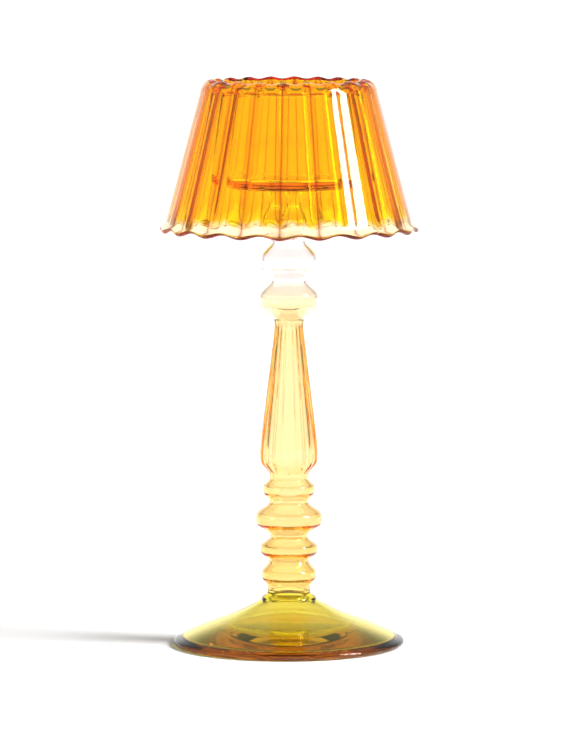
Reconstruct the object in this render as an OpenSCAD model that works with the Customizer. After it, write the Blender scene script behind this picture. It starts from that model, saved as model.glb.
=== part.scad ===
// Tealight holder in coloured glass: a blown foot and stem, a cup and a
// lift-off pleated shade. Millimetres, +Z up, resting on z = 0, axis on x = y = 0.

/* [Foot] */
// Radius of the foot at its widest
foot_r = 39.9; // [34:0.1:48]
// Height of the foot's widest edge above the table
foot_edge_z = 1.4; // [1:0.1:3]
// Height of the foot where it meets the weld
foot_h = 15.8; // [12:0.1:22]
// Radius of the foot where it meets the weld
foot_top_r = 9.5; // [8:0.1:12]
// Inner radius of the ring the foot stands on
foot_ring_r = 36.2; // [30:0.1:38]
// Radius of the flat middle of the hollow under the foot
foot_hollow_r = 20.5; // [12:0.1:26]
// Height of the hollow under the foot
foot_hollow_h = 5.2; // [2:0.1:8]
// Wall of the blown top of the foot
foot_wall = 1.8; // [1:0.1:3]
// Thickness of the glass plate that closes the foot underneath
foot_plate = 1.6; // [1:0.1:3]
// Radius of the air space inside the foot
foot_cavity_r = 36; // [25:0.1:36.3]

/* [Weld] */
// Height of the solid glass weld above the foot
weld_h = 3.4; // [2:0.1:6]
// Smallest radius of the weld
weld_r = 7.45; // [6:0.05:10]
// Radius of the bore through the weld
weld_bore_r = 5.45; // [4:0.05:7]

/* [Lower stem] */
// Height of the top of the lowest bead row
lower_top_z = 58.5; // [50:0.1:66]
// Radius of the neck above the lower beads
lower_top_r = 6.66; // [5:0.05:9]
// Radius of the three necks between the lower beads
lower_neck_r = 6.75; // [5:0.05:9]
// Radius of the first bead above the weld
bead_a_r = 9.4; // [8:0.05:13]
// Radius of the second bead
bead_b_r = 9.85; // [8:0.05:13]
// Radius of the third bead, the widest
bead_c_r = 11.45; // [8:0.05:13]
// Radius of the fourth bead
bead_d_r = 8.9; // [8:0.05:13]

/* [Fluted column] */
// Height of the narrow neck at the top of the column
column_top_z = 113; // [100:0.1:125]
// Smallest radius, near the top of the column
column_neck_r = 4.95; // [4:0.05:7]
// Largest radius, low on the column
column_max_r = 10; // [8:0.05:13]
// Height of the largest radius
column_max_z = 66; // [60:0.1:72]
// Number of flutes round the column
flute_count = 20; // [12:1:28]
// Depth of a flute, half from crest to valley
flute_depth = 0.2; // [0.05:0.05:0.4]

/* [Upper stem] */
// Height of the top of the upper stem
upper_top_z = 140.2; // [130:0.1:150]
// Radius of the necks above and between the upper beads
upper_neck_r = 6.2; // [5:0.05:9]
// Radius of the upper stem's lower bead
bead_e_r = 10.5; // [8:0.05:13]
// Radius of the upper stem's upper bead
bead_f_r = 10; // [8:0.05:13]

/* [Cup stem] */
// Radius of the bead hidden in the shade
bead_g_r = 9.2; // [8:0.05:13]
// Radius of the neck under the cup
cup_neck_r = 5.2; // [4:0.05:7]

/* [Cup] */
// Outer radius of the cup
cup_r = 24.2; // [22:0.1:26]
// Height of the underside of the cup
cup_z = 158.4; // [150:0.1:170]
// Height of the cup from its underside to its rim
cup_h = 32.5; // [24:0.1:40]
// Thickness of the cup's side wall
cup_wall = 1.6; // [1:0.1:3]
// Thickness of the cup's floor
cup_floor = 3; // [1.5:0.1:5]
// Radius of the cup's rounded bottom corner
cup_corner = 3; // [2:0.1:8]

/* [Stem glass] */
// Wall of the blown stem
stem_wall = 1.15; // [0.8:0.05:2]

/* [Shade] */
// Number of ribs round the shade
rib_count = 20; // [14:1:28]
// Angle of the first rib from the front
rib_turn = -4.2; // [-9:0.1:9]
// Outer radius of the wall at its upper end
shade_top_r = 30.5; // [28:0.1:34]
// Outer radius of the wall at its lower end
shade_low_r = 43.4; // [38:0.1:48]
// Height of the lowest point of the rim
shade_low_z = 143.3; // [135:0.1:155]
// Height of the ridge round the top opening
shade_top_z = 195.35; // [185:0.05:205]
// Height of the shade's seat above the table
seat_z = 191.2; // [180:0.1:200]
// Wall in the middle of a pleat
wall_mid = 1.5; // [1:0.05:2.5]
// Wall at a rib
wall_rib = 2.7; // [1.5:0.05:3.5]
// Half of the drop of the rim from a pleat to a rib
rim_wave = 0.5; // [0:0.05:1.2]
// Half of the rise of the ridge from a pleat to a rib
ridge_wave = 0.35; // [0:0.05:0.8]

/* [Hidden] */
$fn = 96;
weld_z = foot_h;
stem_z = weld_z + weld_h;
column_seg = 4;
pleat_seg = 6;
pleat = 360 / rib_count;

amber = [0.86, 0.66, 0.1];
yellow = [0.95, 0.8, 0.35];
straw = [0.97, 0.9, 0.65];
clear = [0.93, 0.95, 0.95];
orange = [1, 0.6, 0.05];

// Smooth step from 0 to 1
function ease(t) = let (u = min(1, max(0, t))) u * u * (3 - 2 * u);
function mix(a, b, t) = a + (b - a) * t;

// Side of a bead: 0 at the neck, 1 at its widest
function side(u) =
    let (v = u * u * 1.05 / (u + 0.05))
    0.5 * ease((u - 0.06) / 0.62) + 0.5 * (1 - pow(1 - v, 2));

// Points [r, z] of one bead side from [z, r] a up to [z, r] b
function flank(a, b, n = 10) = [
    for (i = [0 : n - 1])
    let (t = i / n, wide = b[1] >= a[1] ? side(t) : side(1 - t))
    [mix(min(a[1], b[1]), max(a[1], b[1]), wide), mix(a[0], b[0], t)]
];

// Points [r, z] of a short eased neck from [z, r] a up to [z, r] b
function neck(a, b) = [
    for (i = [0 : 2]) [mix(a[1], b[1], ease(i / 3)), mix(a[0], b[0], i / 3)]
];

// Outline through [z, r] stations: short steps are necks, long ones bead sides
function chain(s) = [
    for (i = [0 : len(s) - 2])
        each s[i + 1][0] - s[i][0] < 2 ? neck(s[i], s[i + 1]) : flank(s[i], s[i + 1]),
    [s[len(s) - 1][1], s[len(s) - 1][0]]
];

// Smoothed unit normal of an open outline of [r, z] points, pointing to the axis
function inward(p, i) =
    let (a = p[max(0, i - 1)], b = p[min(len(p) - 1, i + 1)], d = b - a, l = norm(d))
    [-d[1] / l, d[0] / l];

// Inner line of a wall of thickness t; the two ends stay level so that sections meet
function lining(p, t) = [
    for (i = [0 : len(p) - 1])
    let (end = i == 0 || i == len(p) - 1, q = p[i] + t * inward(p, i))
    end ? [p[i][0] - t, p[i][1]] : [q[0], min(q[1], p[len(p) - 1][1])]
];
function flip(p) = [for (i = [len(p) - 1 : -1 : 0]) p[i]];

// A blown section: an outline turned round the axis with a wall of even thickness
module blown(p, t) {
    rotate_extrude() polygon(concat(p, flip(lining(p, t))));
}

foot_bend = 26.5;
foot_bend_z = 8.1;
foot_tip_r = 38.9;
foot_tip_z = 2.5;
foot_top = concat(
    [for (i = [0 : 5])
        let (t = i / 5, r = mix(foot_top_r, foot_bend, t))
        [r, mix(foot_h, foot_bend_z, t) - 0.55 * sin(180 * t)]],
    [for (i = [1 : 5])
        let (t = i / 5, r = mix(foot_bend, foot_tip_r, t))
        [r, mix(foot_bend_z, foot_tip_z, t) + 0.25 * sin(180 * t)]]
);
foot_edge = [
    [foot_r - 0.2, foot_edge_z + 0.55], [foot_r, foot_edge_z],
    [foot_r - 0.2, foot_edge_z - 0.7], [foot_r - 0.9, 0.2], [foot_r - 1.9, 0]
];

// The plate under the foot rises in a cone from the ring to a flat middle
plate_rise = foot_hollow_h / (foot_ring_r - foot_hollow_r);
plate_lift = foot_plate * norm([1, plate_rise]);
function plate_top(r) = (foot_ring_r - r) * plate_rise + plate_lift;
foot_bore_r = weld_bore_r + 0.6;
foot_inside = concat(
    [[foot_bore_r, foot_h], [foot_bore_r + 0.55, foot_h - 0.65],
     [foot_bore_r + 1.35, foot_h - 1.15]],
    [for (i = [1 : len(foot_top) - 2]) foot_top[i] - foot_wall * inward(foot_top, i)],
    [[foot_cavity_r, plate_top(foot_cavity_r) + 0.2],
     [foot_cavity_r - 0.6, plate_top(foot_cavity_r - 0.6)],
     [foot_hollow_r + 0.5, plate_top(foot_hollow_r + 0.5)],
     [foot_hollow_r - 0.2, foot_hollow_h + foot_plate], [0, foot_hollow_h + foot_plate]]
);

module foot() {
    color(amber)
    rotate_extrude()
    polygon(concat(
        [[0, foot_hollow_h], [foot_hollow_r, foot_hollow_h], [foot_ring_r, 0]],
        flip(concat(foot_top, foot_edge)), foot_inside
    ));
}

weld_line = concat(
    flank([weld_z, foot_top_r], [weld_z + 2.4, weld_r], 8),
    [[weld_r, weld_z + 2.4], [weld_r, stem_z], [weld_bore_r, stem_z],
     [weld_bore_r, weld_z + 1.6], [weld_bore_r + 0.2, weld_z + 0.7], [foot_bore_r, weld_z]]
);

module foot_weld() {
    color(amber) rotate_extrude() polygon(weld_line);
}

bead_a_z = 24.4;
bead_b_z = 33.4;
bead_c_z = 44;
bead_d_z = 54.2;
neck_ab_z = 28.6;
neck_bc_z = 37.4;
neck_cd_z = 49.5;
neck_h = 0.8;
lower_line = chain([
    [stem_z, weld_r], [stem_z + 1.6, weld_r + 0.1], [bead_a_z, bead_a_r],
    [neck_ab_z, lower_neck_r + 0.35], [neck_ab_z + neck_h, lower_neck_r + 0.1],
    [bead_b_z, bead_b_r],
    [neck_bc_z, lower_neck_r - 0.25], [neck_bc_z + neck_h, lower_neck_r - 0.25],
    [bead_c_z, bead_c_r],
    [neck_cd_z, lower_neck_r], [neck_cd_z + neck_h, lower_neck_r + 0.05],
    [bead_d_z, bead_d_r],
    [lower_top_z - 0.7, lower_top_r + 0.02], [lower_top_z, lower_top_r]
]);

module lower_stem() {
    color(yellow) blown(lower_line, stem_wall);
}

column_neck_z = 110.3;
column_line = concat(
    [[lower_top_r, lower_top_z], [lower_top_r + 0.02, lower_top_z + 0.4]],
    flank([lower_top_z + 0.7, lower_top_r + 0.04], [column_max_z, column_max_r], 7),
    [for (i = [0 : 11])
        let (t = i / 12, z = mix(column_max_z, column_neck_z, t))
        [mix(column_max_r + 0.35, column_neck_r - 0.15, t) - 0.35 * exp(-18 * t)
            + 0.12 * pow(t, 6), z]],
    [[column_neck_r - 0.02, column_neck_z + 0.3], [column_neck_r, column_neck_z + 1.1],
     [column_neck_r + 0.1, column_neck_z + 1.9], [column_neck_r + 0.3, column_top_z]]
);
column_lining = lining(column_line, stem_wall);

// Outer point of the column on a station, fluted except near its ends
function fluted(p, a) =
    let (t = (p[1] - lower_top_z) / (column_top_z - lower_top_z),
         fade = ease(t / 0.1) * ease((1 - t) / 0.06),
         r = p[0] + flute_depth * fade * (cos(flute_count * a) - 1))
    [r * cos(a), r * sin(a), p[1]];
function ring(p, a) = [p[0] * cos(a), p[0] * sin(a), p[1]];

// Skin of a closed loop of rings: n points a ring, m rings
function skin(n, m) = [
    for (j = [0 : m - 1], i = [0 : n - 1])
    let (k = (j + 1) % m, h = (i + 1) % n)
    each [[j * n + i, k * n + i, k * n + h], [j * n + i, k * n + h, j * n + h]]
];

module fluted_column() {
    n = flute_count * column_seg;
    inner = flip(column_lining);
    points = [
        for (p = column_line) for (i = [0 : n - 1]) fluted(p, 360 * i / n),
        for (p = inner) for (i = [0 : n - 1]) ring(p, 360 * i / n)
    ];
    color(straw) polyhedron(points, skin(n, len(column_line) + len(inner)));
}

bead_e_z = 120.1;
bead_f_z = 132.9;
neck_ef_z = 126.3;
upper_line = chain([
    [column_top_z, column_neck_r + 0.3], [bead_e_z, bead_e_r],
    [neck_ef_z, upper_neck_r + 0.2], [neck_ef_z + 1.1, upper_neck_r + 0.2],
    [bead_f_z, bead_f_r],
    [upper_top_z - 0.4, upper_neck_r], [upper_top_z, upper_neck_r]
]);

module upper_stem() {
    color(clear) blown(upper_line, stem_wall);
}

bead_g_z = 146.6;
cup_neck_z = 154.2;
cup_flare = 3.2;
cup_stem_line = concat(
    chain([
        [upper_top_z, upper_neck_r], [upper_top_z + 0.4, upper_neck_r], [bead_g_z, bead_g_r],
        [cup_neck_z - 1.6, cup_neck_r], [cup_neck_z, cup_neck_r]
    ]),
    [for (a = [12 : 12 : 60])
        [cup_neck_r + cup_flare * (1 - cos(a)) / (1 - cos(60)),
         cup_neck_z + (cup_z - cup_neck_z) * sin(a) / sin(60)]]
);

module cup_stem() {
    color(clear) blown(cup_stem_line, stem_wall);
}

cup_inner_r = cup_r - cup_wall;
cup_inner_corner = cup_corner - cup_wall;
rim_round = cup_wall / 2;

module cup_half() {
    difference() {
        union() {
            square([cup_r - cup_corner, cup_h]);
            translate([0, cup_corner]) square([cup_r, cup_h - cup_corner - rim_round]);
            translate([cup_r - cup_corner, cup_corner]) circle(cup_corner);
            translate([cup_r - rim_round, cup_h - rim_round]) circle(rim_round);
        }
        translate([0, cup_floor]) square([cup_inner_r - cup_inner_corner, cup_h]);
        translate([0, cup_floor + cup_inner_corner]) square([cup_inner_r, cup_h]);
        translate([cup_inner_r - cup_inner_corner, cup_floor + cup_inner_corner])
            circle(cup_inner_corner);
        translate([-cup_r, -1]) square([cup_r, cup_h + 2]);
    }
}

module cup() {
    color(clear) translate([0, 0, cup_z]) rotate_extrude() cup_half();
}

wall_high_z = shade_top_z - 4;
shoulder = 4;
roll_rib = 0.95;
roll_mid = 0.6;
roll_r = shade_low_r + 0.05;
roll_z = shade_low_z + roll_rib + rim_wave;
seat_in = cup_r - 1.5;
seat_out = cup_r + 0.1;

// Part of a round edge: centre, radius, first angle, last angle, points
function arc(c, r, a, b, n) = [
    for (i = [0 : n]) let (t = mix(a, b, i / n)) c + r * [cos(t), sin(t)]
];

// Outer line of the shade's wall, flaring a little at the rim
function wall_r(z) =
    mix(shade_low_r, shade_top_r, (z - shade_low_z) / (wall_high_z - shade_low_z))
    + 0.45 * exp(-(z - shade_low_z) / 1.6);

// Cut through the shade's glass where q is 0 mid pleat and 1 at a rib, k is thickness share
function shade_cut(q, k) =
    let (w = 2 * q - 1,
         t = mix(wall_mid, wall_rib, k),
         crease = 0.2 * k,
         roll = mix(roll_mid, roll_rib, q),
         c = [roll_r + 0.4 * q, roll_z - rim_wave * w],
         low = c[1] + 1.1,
         lift = ridge_wave * w,
         top = [shade_top_r - shoulder, wall_high_z])
    concat(
        arc(c, roll, 215, 400, 7),
        [for (i = [0 : 9]) let (z = mix(low, wall_high_z, i / 10)) [wall_r(z) - crease, z]],
        [for (a = [0 : 22.5 : 90])
            top + [(shoulder - crease) * cos(a), (shoulder + lift) * sin(a)]],
        [[top[0] - 0.75, shade_top_z + lift - 0.25],
         [top[0] - 1.3, shade_top_z + lift - 0.9],
         [mix(seat_in, top[0] - 1.3, 0.55), mix(seat_z, shade_top_z, 0.5) + lift / 2],
         [seat_in - 0.1, seat_z + 0.9], [seat_in + 0.1, seat_z + 0.25],
         [seat_in + 0.6, seat_z], [seat_out - 0.4, seat_z], [seat_out, seat_z + 0.45],
         [top[0] + 0.1, shade_top_z - 2.6],
         [top[0] + 0.7, shade_top_z - 1.7 + lift - 0.4 * k]],
        [for (a = [60 : -30 : 0])
            top + [(shoulder - t) * cos(a), (shoulder - t + lift) * sin(a)]],
        [for (i = [1 : 9])
            let (z = mix(wall_high_z, low, i / 9))
            [wall_r(z) - mix(t, min(t, 2 * roll), i == 9 ? 0.8 : 0), z]]
    );

module shade() {
    n = rib_count * pleat_seg;
    m = len(shade_cut(0, 0));
    cuts = [
        for (i = [0 : pleat_seg - 1])
        let (x = 2 * abs(i / pleat_seg - 0.5))
        shade_cut(0.5 + 0.5 * cos(180 * (1 - x)), x * x)
    ];
    points = [
        for (j = [0 : m - 1]) for (i = [0 : n - 1])
        let (a = 270 + rib_turn + 360 * i / n, p = cuts[i % pleat_seg][j])
        [p[0] * cos(a), p[0] * sin(a), p[1]]
    ];
    color(orange) polyhedron(points, skin(n, m));
}

foot();
foot_weld();
lower_stem();
fluted_column();
upper_stem();
cup_stem();
cup();
shade();
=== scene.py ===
import math

import bmesh
import bpy
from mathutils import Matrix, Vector


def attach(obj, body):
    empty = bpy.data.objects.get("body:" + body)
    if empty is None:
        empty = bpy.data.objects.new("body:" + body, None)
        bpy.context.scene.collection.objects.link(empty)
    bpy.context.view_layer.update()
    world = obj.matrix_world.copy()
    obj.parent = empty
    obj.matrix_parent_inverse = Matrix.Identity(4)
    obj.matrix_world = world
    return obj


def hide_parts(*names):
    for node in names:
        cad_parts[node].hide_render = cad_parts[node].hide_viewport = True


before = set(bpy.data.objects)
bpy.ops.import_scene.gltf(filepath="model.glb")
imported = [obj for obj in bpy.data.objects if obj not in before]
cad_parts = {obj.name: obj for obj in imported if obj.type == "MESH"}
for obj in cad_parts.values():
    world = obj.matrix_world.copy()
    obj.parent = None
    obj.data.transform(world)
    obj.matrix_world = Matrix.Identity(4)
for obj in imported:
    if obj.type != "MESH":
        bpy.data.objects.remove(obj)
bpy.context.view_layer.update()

MM = 0.001
AROUND = 240        # points round a plain turned piece
FLANK_STEPS = 18    # points along one bead side
NECK_STEPS = 3      # points along a short neck
NECK_LENGTH = 2     # mm; stations nearer than this are joined by a neck
ON_AXIS = 1e-6


# ---------------------------------------------------------------- profiles
def mix(a, b, t):
    return a + (b - a) * t


def ease(t):
    u = min(1.0, max(0.0, t))
    return u * u * (3 - 2 * u)


def side(u):
    """Side of a bead: 0 at the neck, 1 at its widest."""
    v = u * u * 1.05 / (u + 0.05)
    return 0.5 * ease((u - 0.06) / 0.62) + 0.5 * (1 - (1 - v) ** 2)


def flank(a, b):
    """Points (r, z) of one bead side from a = (z, r) to b = (z, r), without b."""
    out = []
    for i in range(FLANK_STEPS):
        t = i / FLANK_STEPS
        if b[1] >= a[1]:
            r = mix(a[1], b[1], side(t))
        else:
            r = mix(b[1], a[1], side(1 - t))
        out.append((r, mix(a[0], b[0], t)))
    return out


def neck(a, b):
    """Points (r, z) of a short neck from a = (z, r) to b = (z, r), without b."""
    return [(mix(a[1], b[1], ease(i / NECK_STEPS)), mix(a[0], b[0], i / NECK_STEPS))
            for i in range(NECK_STEPS)]


def chain(stations):
    """Outline (r, z) through (z, r) stations, by bead sides and short necks."""
    out = []
    for a, b in zip(stations, stations[1:]):
        out += neck(a, b) if abs(b[0] - a[0]) < NECK_LENGTH else flank(a, b)
    return out + [(stations[-1][1], stations[-1][0])]


def lining(p, t):
    """Inner line of a wall of thickness t; both ends stay level."""
    out = []
    for i, q in enumerate(p):
        if i in (0, len(p) - 1):
            out.append((q[0] - t, q[1]))
            continue
        dx, dz = p[i + 1][0] - p[i - 1][0], p[i + 1][1] - p[i - 1][1]
        n = math.hypot(dx, dz)
        out.append((q[0] - t * dz / n, min(q[1] + t * dx / n, p[-1][1])))
    return out


def arc(c, r, a, b, n):
    """n + 1 points (r, z) on a circle round c, from a to b degrees."""
    out = []
    for i in range(n + 1):
        t = math.radians(mix(a, b, i / n))
        out.append((c[0] + r * math.cos(t), c[1] + r * math.sin(t)))
    return out


def bowed(a, b, bow, n=12):
    """n + 1 points (r, z) from a to b, raised by bow in the middle."""
    return [(mix(a[0], b[0], i / n), mix(a[1], b[1], i / n) + bow * math.sin(math.pi * i / n))
            for i in range(n + 1)]


# ------------------------------------------------------------------ meshes
def mesh_piece(name, verts, faces, sharp):
    """Smooth object from points in mm, faces outward, edges over sharp degrees kept sharp."""
    me = bpy.data.meshes.new(name)
    me.from_pydata([tuple(c * MM for c in v) for v in verts], [], faces)
    me.validate()
    me.update()
    bm = bmesh.new()
    bm.from_mesh(me)
    if bm.calc_volume(signed=True) < 0:
        bmesh.ops.reverse_faces(bm, faces=bm.faces)
    bm.to_mesh(me)
    bm.free()
    ob = bpy.data.objects.new(name, me)
    bpy.context.collection.objects.link(ob)
    me.shade_smooth()
    me.set_sharp_from_angle(angle=math.radians(sharp))
    return ob


def circle(r, z, n):
    """n points of a level circle."""
    return [(r * math.cos(2 * math.pi * i / n), r * math.sin(2 * math.pi * i / n), z)
            for i in range(n)]


def loop_piece(name, rings, sharp=35):
    """Closed skin through a closed loop of rings of (x, y, z) points."""
    m, n = len(rings), len(rings[0])
    verts = [p for ring in rings for p in ring]
    faces = []
    for j in range(m):
        k = (j + 1) % m
        for i in range(n):
            h = (i + 1) % n
            faces.append((j * n + i, j * n + h, k * n + h, k * n + i))
    return mesh_piece(name, verts, faces, sharp)


def turned(name, line, sharp):
    """Solid turned from a line of (r, z) points that starts and ends on the axis."""
    verts, faces, rows = [], [], []
    for r, z in line:
        points = [(0, 0, z)] if r < ON_AXIS else circle(r, z, AROUND)
        rows.append(list(range(len(verts), len(verts) + len(points))))
        verts += points
    for lo, hi in zip(rows, rows[1:]):
        for i in range(AROUND):
            h = (i + 1) % AROUND
            if len(lo) == 1:
                faces.append((lo[0], hi[h], hi[i]))
            elif len(hi) == 1:
                faces.append((lo[i], lo[h], hi[0]))
            else:
                faces.append((lo[i], lo[h], hi[h], hi[i]))
    return mesh_piece(name, verts, faces, sharp)


def blown(name, line, wall):
    """Hollow section: the outline and its lining, joined by level end rings."""
    loop = line + lining(line, wall)[::-1]
    return loop_piece(name, [circle(r, z, AROUND) for r, z in loop])


# --------------------------------------------------------------- materials
GLASS_IOR = 1.48


def glass(name, absorb, tint=(1, 1, 1)):
    """Polished glass: absorb is the (r, g, b) absorption per mm, tint colours its surface."""
    mat = bpy.data.materials.new(name)
    mat.use_nodes = True
    nt = mat.node_tree
    bsdf = nt.nodes["Principled BSDF"]
    bsdf.inputs["Base Color"].default_value = (*tint, 1)
    bsdf.inputs["Transmission Weight"].default_value = 1.0
    bsdf.inputs["Roughness"].default_value = 0.0
    bsdf.inputs["IOR"].default_value = GLASS_IOR
    top = max(absorb) * 1000
    vol = nt.nodes.new("ShaderNodeVolumeAbsorption")
    vol.inputs["Color"].default_value = (*[1 - a * 1000 / top for a in absorb], 1)
    vol.inputs["Density"].default_value = top
    nt.links.new(vol.outputs[0], nt.nodes["Material Output"].inputs["Volume"])
    return mat


def attribute(nt, name):
    """Socket with the value of a mesh attribute."""
    node = nt.nodes.new("ShaderNodeAttribute")
    node.attribute_name = name
    return node.outputs["Fac"]


def height(nt):
    """Socket with the height above the floor, in metres."""
    coord = nt.nodes.new("ShaderNodeTexCoord")
    split = nt.nodes.new("ShaderNodeSeparateXYZ")
    nt.links.new(coord.outputs["Object"], split.inputs[0])
    return split.outputs["Z"]


def smooth_range(nt, value, lo, hi, out_lo=0.0, out_hi=1.0):
    """Socket that runs smoothly from out_lo to out_hi while value goes from lo to hi."""
    node = nt.nodes.new("ShaderNodeMapRange")
    node.interpolation_type = "SMOOTHSTEP"
    node.inputs["From Min"].default_value = lo
    node.inputs["From Max"].default_value = hi
    node.inputs["To Min"].default_value = out_lo
    node.inputs["To Max"].default_value = out_hi
    nt.links.new(value, node.inputs["Value"])
    return node.outputs[0]


def gradient(mat, value, z0, z1, c0, c1):
    """Base Color runs from c0 where the value is z0 mm to c1 where it is z1 mm."""
    nt = mat.node_tree
    node = nt.nodes.new("ShaderNodeMix")
    node.data_type = "RGBA"
    node.inputs["A"].default_value = (*c0, 1)
    node.inputs["B"].default_value = (*c1, 1)
    nt.links.new(smooth_range(nt, value, z0 * MM, z1 * MM), node.inputs["Factor"])
    nt.links.new(node.outputs["Result"], nt.nodes["Principled BSDF"].inputs["Base Color"])


def paint_fold_shade(mat, factor, color):
    """Mixes a painted shade colour over what already feeds Base Color, by the factor."""
    nt = mat.node_tree
    base = nt.nodes["Principled BSDF"].inputs["Base Color"]
    under = base.links[0].from_socket
    node = nt.nodes.new("ShaderNodeMix")
    node.data_type = "RGBA"
    node.inputs["B"].default_value = (*color, 1)
    nt.links.new(factor, node.inputs["Factor"])
    nt.links.new(under, node.inputs["A"])
    nt.links.new(node.outputs["Result"], base)


amber = glass("amber_glass", (0.007, 0.024, 0.42), tint=(1.0, 0.94, 0.85))
yellow = glass("yellow_glass", (0.006, 0.135, 0.50))
straw = glass("straw_glass", (0.002, 0.018, 0.035))
clear = glass("clear_glass", (0.001, 0.003, 0.006))
cup_glass = glass("cup_glass", (0.000, 0.020, 0.035))
orange = glass("orange_glass", (0.002, 0.05, 0.24))

gradient(straw, height(straw.node_tree), 112.0, 130.0, (1.0, 0.86, 0.57), (1.0, 0.955, 0.97))
gradient(yellow, height(yellow.node_tree), 18.0, 50.0, (0.99, 0.955, 0.80), (1.0, 1.0, 1.0))
# The shade is pale below the level of its "fade" attribute; dark red painted shade lies on its
# rib folds.
gradient(orange, attribute(orange.node_tree, "fade"), 147.4, 149.8,
         (1.0, 0.92, 0.80), (1.0, 0.71, 0.004))
paint_fold_shade(orange, attribute(orange.node_tree, "rib"), (0.40, 0.03, 0.01))


def finish_piece(ob, mat, body, nodes):
    ob.data.materials.append(mat)
    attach(ob, body)
    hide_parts(*nodes)


# --------------------------------------------------------------- stem, column
STEM_WALL = 1.15
FOOT_H, WELD_H = 15.8, 3.4
STEM_Z = FOOT_H + WELD_H
WELD_R, FOOT_TOP_R = 7.45, 9.5
COLUMN_Z, COLUMN_TOP = 58.5, 113.0
COLUMN_FOOT_R, COLUMN_TOP_R = 6.66, 5.25

lower_line = chain([(STEM_Z, WELD_R), (20.8, 7.55), (24.4, 9.4), (28.6, 7.1), (29.4, 6.85),
                    (33.4, 9.85), (37.4, 6.5), (38.4, 6.5), (44.0, 11.45), (49.5, 6.77),
                    (50.3, 6.8), (54.2, 8.88), (57.8, 6.68), (COLUMN_Z, COLUMN_FOOT_R)])

# The shaft bulges out of its lowest neck and tapers to a small collar.
SHAFT_Z, SHAFT_TOP, SHAFT_STEPS = 66.0, 110.3, 30
column_line = [(6.68, 58.9)] + flank((59.2, 6.7), (SHAFT_Z, 9.98))
for i in range(SHAFT_STEPS):
    t = i / SHAFT_STEPS
    column_line.append((mix(10.33, 4.8, t) - 0.35 * math.exp(-18 * t) + 0.12 * t ** 6,
                        mix(SHAFT_Z, SHAFT_TOP, t)))
column_line += [(4.93, 110.6), (4.96, 111.4), (5.04, 112.2), (COLUMN_TOP_R, COLUMN_TOP)]

FLUTES, FLUTE_DEPTH = 20, 0.2
STEM_AROUND = FLUTES * 16


def fluted(p, a):
    """Point of the outline at angle a; flutes fade out at both ends of the column."""
    t = (p[1] - COLUMN_Z) / (COLUMN_TOP - COLUMN_Z)
    fade = ease(t / 0.1) * ease((1 - t) / 0.06) if 0 < t < 1 else 0
    r = p[0] + FLUTE_DEPTH * fade * (math.cos(FLUTES * a) - 1)
    return (r * math.cos(a), r * math.sin(a), p[1])


stem_line = lower_line + column_line
stem_rings = [[fluted(p, 2 * math.pi * i / STEM_AROUND) for i in range(STEM_AROUND)]
              for p in stem_line]
stem_rings += [circle(r, z, STEM_AROUND) for r, z in lining(stem_line, STEM_WALL)[::-1]]
finish_piece(loop_piece("blown_stem", stem_rings), yellow, "holder",
             ["lower_stem", "fluted_column"])

CUP_STEM_Z, CUP_STEM_R = 140.2, 6.2
upper_line = chain([(COLUMN_TOP, COLUMN_TOP_R), (120.1, 10.52), (126.3, 6.4), (127.4, 6.38),
                    (132.9, 10.0), (139.8, CUP_STEM_R), (CUP_STEM_Z, CUP_STEM_R)])
finish_piece(blown("upper_stem_blown", upper_line, STEM_WALL), straw, "holder",
             ["upper_stem"])

# The cup's stem flares into the cup's floor along a 60 degree arc, scaled to fit.
FLARE_Z, FLARE_R, FLARE_H, FLARE_OUT, FLARE_STEPS = 154.2, 5.2, 4.2, 3.2, 8
cup_stem_line = chain([(CUP_STEM_Z, CUP_STEM_R), (140.6, 6.2), (146.6, 9.2), (152.6, FLARE_R),
                       (FLARE_Z, FLARE_R)])
for i in range(1, FLARE_STEPS + 1):
    t = math.radians(60 * i / FLARE_STEPS)
    cup_stem_line.append((FLARE_R + FLARE_OUT * (1 - math.cos(t)) / 0.5,
                          FLARE_Z + FLARE_H * math.sin(t) / math.sin(math.radians(60))))
finish_piece(blown("cup_stem_blown", cup_stem_line, STEM_WALL), clear, "holder",
             ["cup_stem"])

# --------------------------------------------------------------- foot, weld
FOOT_WALL, PLATE = 1.8, 1.6
HOLLOW_R, HOLLOW_Z, RING_R = 20.5, 5.2, 36.2
CAVITY_R, CAVITY_Z = 36.0, 1.96
BEND_R, BEND_Z, TIP_R, TIP_Z = 26.5, 8.1, 38.9, 2.5
NECK_Z = 18.2

top_line = (bowed((FOOT_TOP_R, FOOT_H), (BEND_R, BEND_Z), -0.55)
            + bowed((BEND_R, BEND_Z), (TIP_R, TIP_Z), 0.25)[1:])
edge_line = [(39.4, 2.25), (39.7, 1.95), (39.87, 1.6), (39.9, 1.3), (39.8, 0.9), (39.55, 0.55),
             (39.2, 0.3), (38.7, 0.1), (38.0, 0)]
weld_line = flank((FOOT_H, FOOT_TOP_R), (NECK_Z, WELD_R)) + [(WELD_R, NECK_Z), (WELD_R, STEM_Z)]

# The air space: down the bore, out under the top wall, and back over the sloping plate.
air_line = [(5.45, STEM_Z), (5.45, 17.4), (5.65, 16.5), (6.05, 15.8), (6.6, 15.15), (7.4, 14.65)]
for before, (r, z), after in zip(top_line, top_line[1:], top_line[2:]):
    dx, dz = after[0] - before[0], after[1] - before[1]
    n = math.hypot(dx, dz)
    if 10 < r < CAVITY_R + 0.1:
        air_line.append((r + FOOT_WALL * dz / n, z - FOOT_WALL * dx / n))
air_line.append((CAVITY_R, CAVITY_Z))
rise = HOLLOW_Z / (RING_R - HOLLOW_R)
lift = PLATE * math.hypot(1, rise)
for i in range(10):
    r = mix(CAVITY_R - 0.6, HOLLOW_R + 0.5, i / 9)
    air_line.append((r, (RING_R - r) * rise + lift))
air_line += [(HOLLOW_R - 0.2, HOLLOW_Z + PLATE), (0, HOLLOW_Z + PLATE)]

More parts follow.
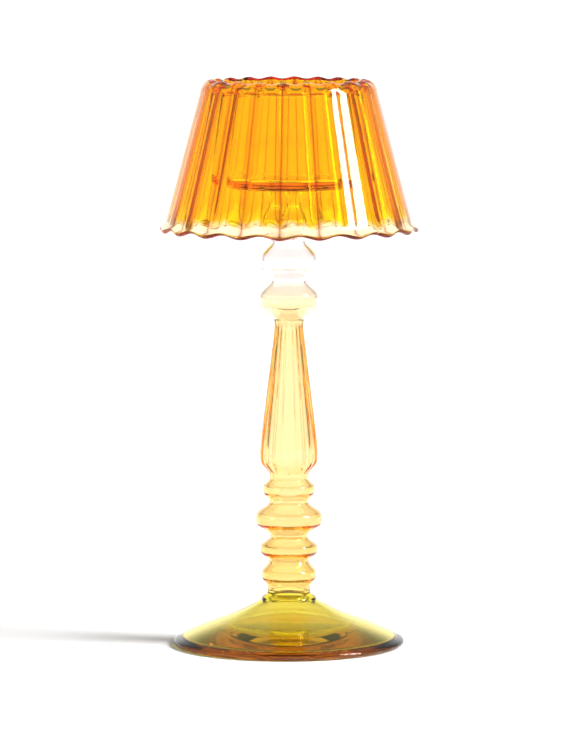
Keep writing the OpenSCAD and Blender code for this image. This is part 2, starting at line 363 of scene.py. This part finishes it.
foot_line = ([(0, HOLLOW_Z), (HOLLOW_R, HOLLOW_Z), (RING_R, 0)]
             + (top_line + edge_line)[::-1] + weld_line[1:] + air_line)
finish_piece(turned("foot_and_weld", foot_line, sharp=40), amber, "holder",
             ["foot", "foot_weld"])

# --------------------------------------------------------------- cup
CUP_R, CUP_Z, CUP_H, CUP_WALL, CUP_FLOOR, CORNER = 24.2, 158.4, 32.5, 1.6, 3.0, 3.0
RIM_ROUND = 0.8
cup_line = ([(0, CUP_Z)] + arc((CUP_R - CORNER, CUP_Z + CORNER), CORNER, 270, 360, 12)
            + arc((CUP_R - RIM_ROUND, CUP_Z + CUP_H - RIM_ROUND), RIM_ROUND, 0, 180, 10)
            + arc((CUP_R - CORNER, CUP_Z + CUP_FLOOR + CORNER - CUP_WALL), CORNER - CUP_WALL,
                  360, 270, 12)
            + [(0, CUP_Z + CUP_FLOOR)])
finish_piece(turned("cup_vessel", cup_line, sharp=50), cup_glass, "holder", ["cup"])

# --------------------------------------------------------------- shade
RIBS, RIB_STEPS, TURN = 20, 24, math.radians(-4.2)
LOW_R, TOP_R, LOW_Z, TOP_Z, SEAT_Z = 43.4, 30.5, 143.3, 195.35, 191.2
SHOULDER = 4                     # radius of the bend from wall to ridge
HIGH_Z = TOP_Z - SHOULDER
WALL_MID, WALL_RIB = 1.5, 2.7
RIM_WAVE, RIDGE_WAVE = 0.5, 0.35
CREASE = 0.2                     # how far a rib line is sunk into the outside
WALL_STEPS = 20


def wall_r(z):
    """Outside radius at height z, flaring a little at the rim."""
    return mix(LOW_R, TOP_R, (z - LOW_Z) / (HIGH_Z - LOW_Z)) + 0.45 * math.exp(-(z - LOW_Z) / 1.6)


def shade_cut(q, k):
    """The glass cut at one angle: q is 0 mid pleat, 1 at a rib; k is the thickness share."""
    w = 2 * q - 1
    wall = mix(WALL_MID, WALL_RIB, k)
    crease = CREASE * k
    roll = mix(0.6, 0.95, q)
    rim = (LOW_R - 0.03 + 0.4 * q, LOW_Z + 0.95 + RIM_WAVE - RIM_WAVE * w)
    low = rim[1] + 1.1
    ridge = RIDGE_WAVE * w
    bend_r = TOP_R - SHOULDER
    s_in, s_out = CUP_R - 1.5, CUP_R + 0.1
    outer = arc(rim, roll, 215, 400, 14)
    for i in range(WALL_STEPS):
        z = mix(low, HIGH_Z, i / WALL_STEPS)
        outer.append((wall_r(z) - crease, z))
    for i in range(9):
        a = math.radians(90 * i / 8)
        outer.append((bend_r + (SHOULDER - crease) * math.cos(a),
                      HIGH_Z + (SHOULDER + ridge) * math.sin(a)))
    outer += [(bend_r - 0.4, TOP_Z + ridge - 0.07), (bend_r - 0.75, TOP_Z + ridge - 0.25),
              (bend_r - 1.05, TOP_Z + ridge - 0.5), (bend_r - 1.3, TOP_Z + ridge - 0.9),
              (mix(s_in, bend_r - 1.3, 0.55), mix(SEAT_Z, TOP_Z, 0.5) + ridge / 2),
              (s_in - 0.1, SEAT_Z + 0.9), (s_in + 0.1, SEAT_Z + 0.25), (s_in + 0.6, SEAT_Z)]
    inner = [(s_out - 0.4, SEAT_Z), (s_out, SEAT_Z + 0.45), (bend_r + 0.1, TOP_Z - 2.6),
             (bend_r + 0.7, TOP_Z - 1.7 + ridge - 0.4 * k)]
    for i in range(5):
        a = math.radians(60 * (1 - i / 4))
        inner.append((bend_r + (SHOULDER - wall) * math.cos(a),
                      HIGH_Z + (SHOULDER - wall + ridge) * math.sin(a)))
    for i in range(1, WALL_STEPS):
        z = mix(HIGH_Z, low, i / (WALL_STEPS - 1))
        thin = 0.8 * ease((i - 16) / 3)
        inner.append((wall_r(z) - mix(wall, min(wall, 2 * roll), thin), z))
    return outer, inner


def rib_share(i):
    """0 in the middle of a pleat, 1 at a rib, for the i-th point round the shade."""
    return 2 * abs((i % RIB_STEPS) / RIB_STEPS - 0.5)


cuts = []
for i in range(RIB_STEPS):
    x = rib_share(i)
    cuts.append(shade_cut(0.5 + 0.5 * math.cos(math.pi * (1 - x)), x * x))
outside = len(cuts[0][0])
cuts = [outer + inner for outer, inner in cuts]
shade_around = RIBS * RIB_STEPS
shade_rings = []
for j in range(len(cuts[0])):
    ring = []
    for i in range(shade_around):
        r, z = cuts[i % RIB_STEPS][j]
        a = -math.pi / 2 + TURN + 2 * math.pi * i / shade_around
        ring.append((r * math.cos(a), r * math.sin(a), z))
    shade_rings.append(ring)
shade = loop_piece("pleated_shade", shade_rings, sharp=60)
finish_piece(shade, orange, "shade", ["shade"])

# The rib attribute masks the painted shade: dark red on the outside of the folds.
rib = shade.data.attributes.new("rib", "FLOAT", "POINT")
for j in range(len(shade_rings)):
    for i in range(shade_around):
        rib.data[j * shade_around + i].value = rib_share(i) ** 9 if j < outside else 0

FADE_WAVES = ((0.7, 20, 1.1), (0.45, 47, 0), (0.3, 83, 2))    # height mm, waves round, phase
fade = shade.data.attributes.new("fade", "FLOAT", "POINT")
for k, v in enumerate(shade.data.vertices):
    a = math.atan2(v.co.y, v.co.x)
    wobble = sum(h * math.sin(waves * a + phase) for h, waves, phase in FADE_WAVES)
    fade.data[k].value = v.co.z - wobble * MM

# --------------------------------------------------------------- stage
bpy.ops.mesh.primitive_plane_add(size=6.0, location=(0, 0, 0))
floor = bpy.context.object
floor.name = "floor"
floor_mat = bpy.data.materials.new("floor")
floor_mat.use_nodes = True
paint = floor_mat.node_tree.nodes["Principled BSDF"]
paint.inputs["Base Color"].default_value = (0.9, 0.9, 0.9, 1)
paint.inputs["Roughness"].default_value = 0.9
paint.inputs["Specular IOR Level"].default_value = 0.1
floor.data.materials.append(floor_mat)

# The room is dim, with a bright backdrop straight behind the object.
ROOM, BACKDROP = 0.36, 1.2
world = bpy.data.worlds.new("world")
bpy.context.scene.world = world
world.use_nodes = True
wn = world.node_tree
coord = wn.nodes.new("ShaderNodeTexCoord")
split = wn.nodes.new("ShaderNodeSeparateXYZ")
backdrop = wn.nodes.new("ShaderNodeMath")
backdrop.operation = "MULTIPLY"
wn.links.new(coord.outputs["Generated"], split.inputs[0])
wn.links.new(smooth_range(wn, split.outputs["Z"], 0.15, 0.6, 1.0, 0.0), backdrop.inputs[0])
wn.links.new(smooth_range(wn, split.outputs["Y"], 0.66, 0.93), backdrop.inputs[1])
level = wn.nodes.new("ShaderNodeMapRange")
level.inputs["To Min"].default_value = ROOM
level.inputs["To Max"].default_value = BACKDROP
wn.links.new(backdrop.outputs[0], level.inputs["Value"])
wn.links.new(level.outputs[0], wn.nodes["Background"].inputs["Strength"])
wn.nodes["Background"].inputs["Color"].default_value = (1, 1, 1, 1)


def aim(ob, direction):
    """Turns a light so that it shines from the direction."""
    ob.rotation_euler = (-direction).to_track_quat("-Z", "Y").to_euler()


# The key light makes the shadow and is not seen in the glass.
key_data = bpy.data.lights.new("key_light", "SUN")
key_data.angle = math.radians(24)
key_data.energy = 6.2
key_light = bpy.data.objects.new("key_light", key_data)
bpy.context.collection.objects.link(key_light)
aim(key_light, Vector((0.795, -0.20, 0.62)))
key_light.visible_glossy = False
key_light.visible_transmission = False

# The softbox makes the highlights and does not light the floor.
SOFTBOX_FROM = Vector((0.838, -0.272, 0.475)).normalized()
softbox_data = bpy.data.lights.new("softbox", "AREA")
softbox_data.shape = "RECTANGLE"
softbox_data.size, softbox_data.size_y = 0.42, 1.0
softbox_data.energy = 30
softbox = bpy.data.objects.new("softbox", softbox_data)
bpy.context.collection.objects.link(softbox)
softbox.visible_diffuse = False
softbox.location = Vector((0, 0, 0.12)) + SOFTBOX_FROM * 1.6
aim(softbox, SOFTBOX_FROM)

FOCAL_PIXELS, FRAME_HEIGHT, SENSOR = 5025, 736, 36
LOOK_DOWN = 5.7                  # degrees
camera_data = bpy.data.cameras.new("camera")
camera = bpy.data.objects.new("camera", camera_data)
bpy.context.collection.objects.link(camera)
camera_data.sensor_fit = "AUTO"
camera_data.sensor_width = SENSOR
camera_data.lens = FOCAL_PIXELS / FRAME_HEIGHT * SENSOR
camera_data.clip_end = 100
camera.location = (-0.0005, -1.725, 0.2684)
camera.rotation_euler = (math.radians(90 - LOOK_DOWN), 0, 0)

scene = bpy.context.scene
scene.camera = camera
scene.view_settings.view_transform = "Standard"
scene.cycles.max_bounces = 40
scene.cycles.transmission_bounces = 40
scene.cycles.glossy_bounces = 16
scene.cycles.transparent_max_bounces = 16
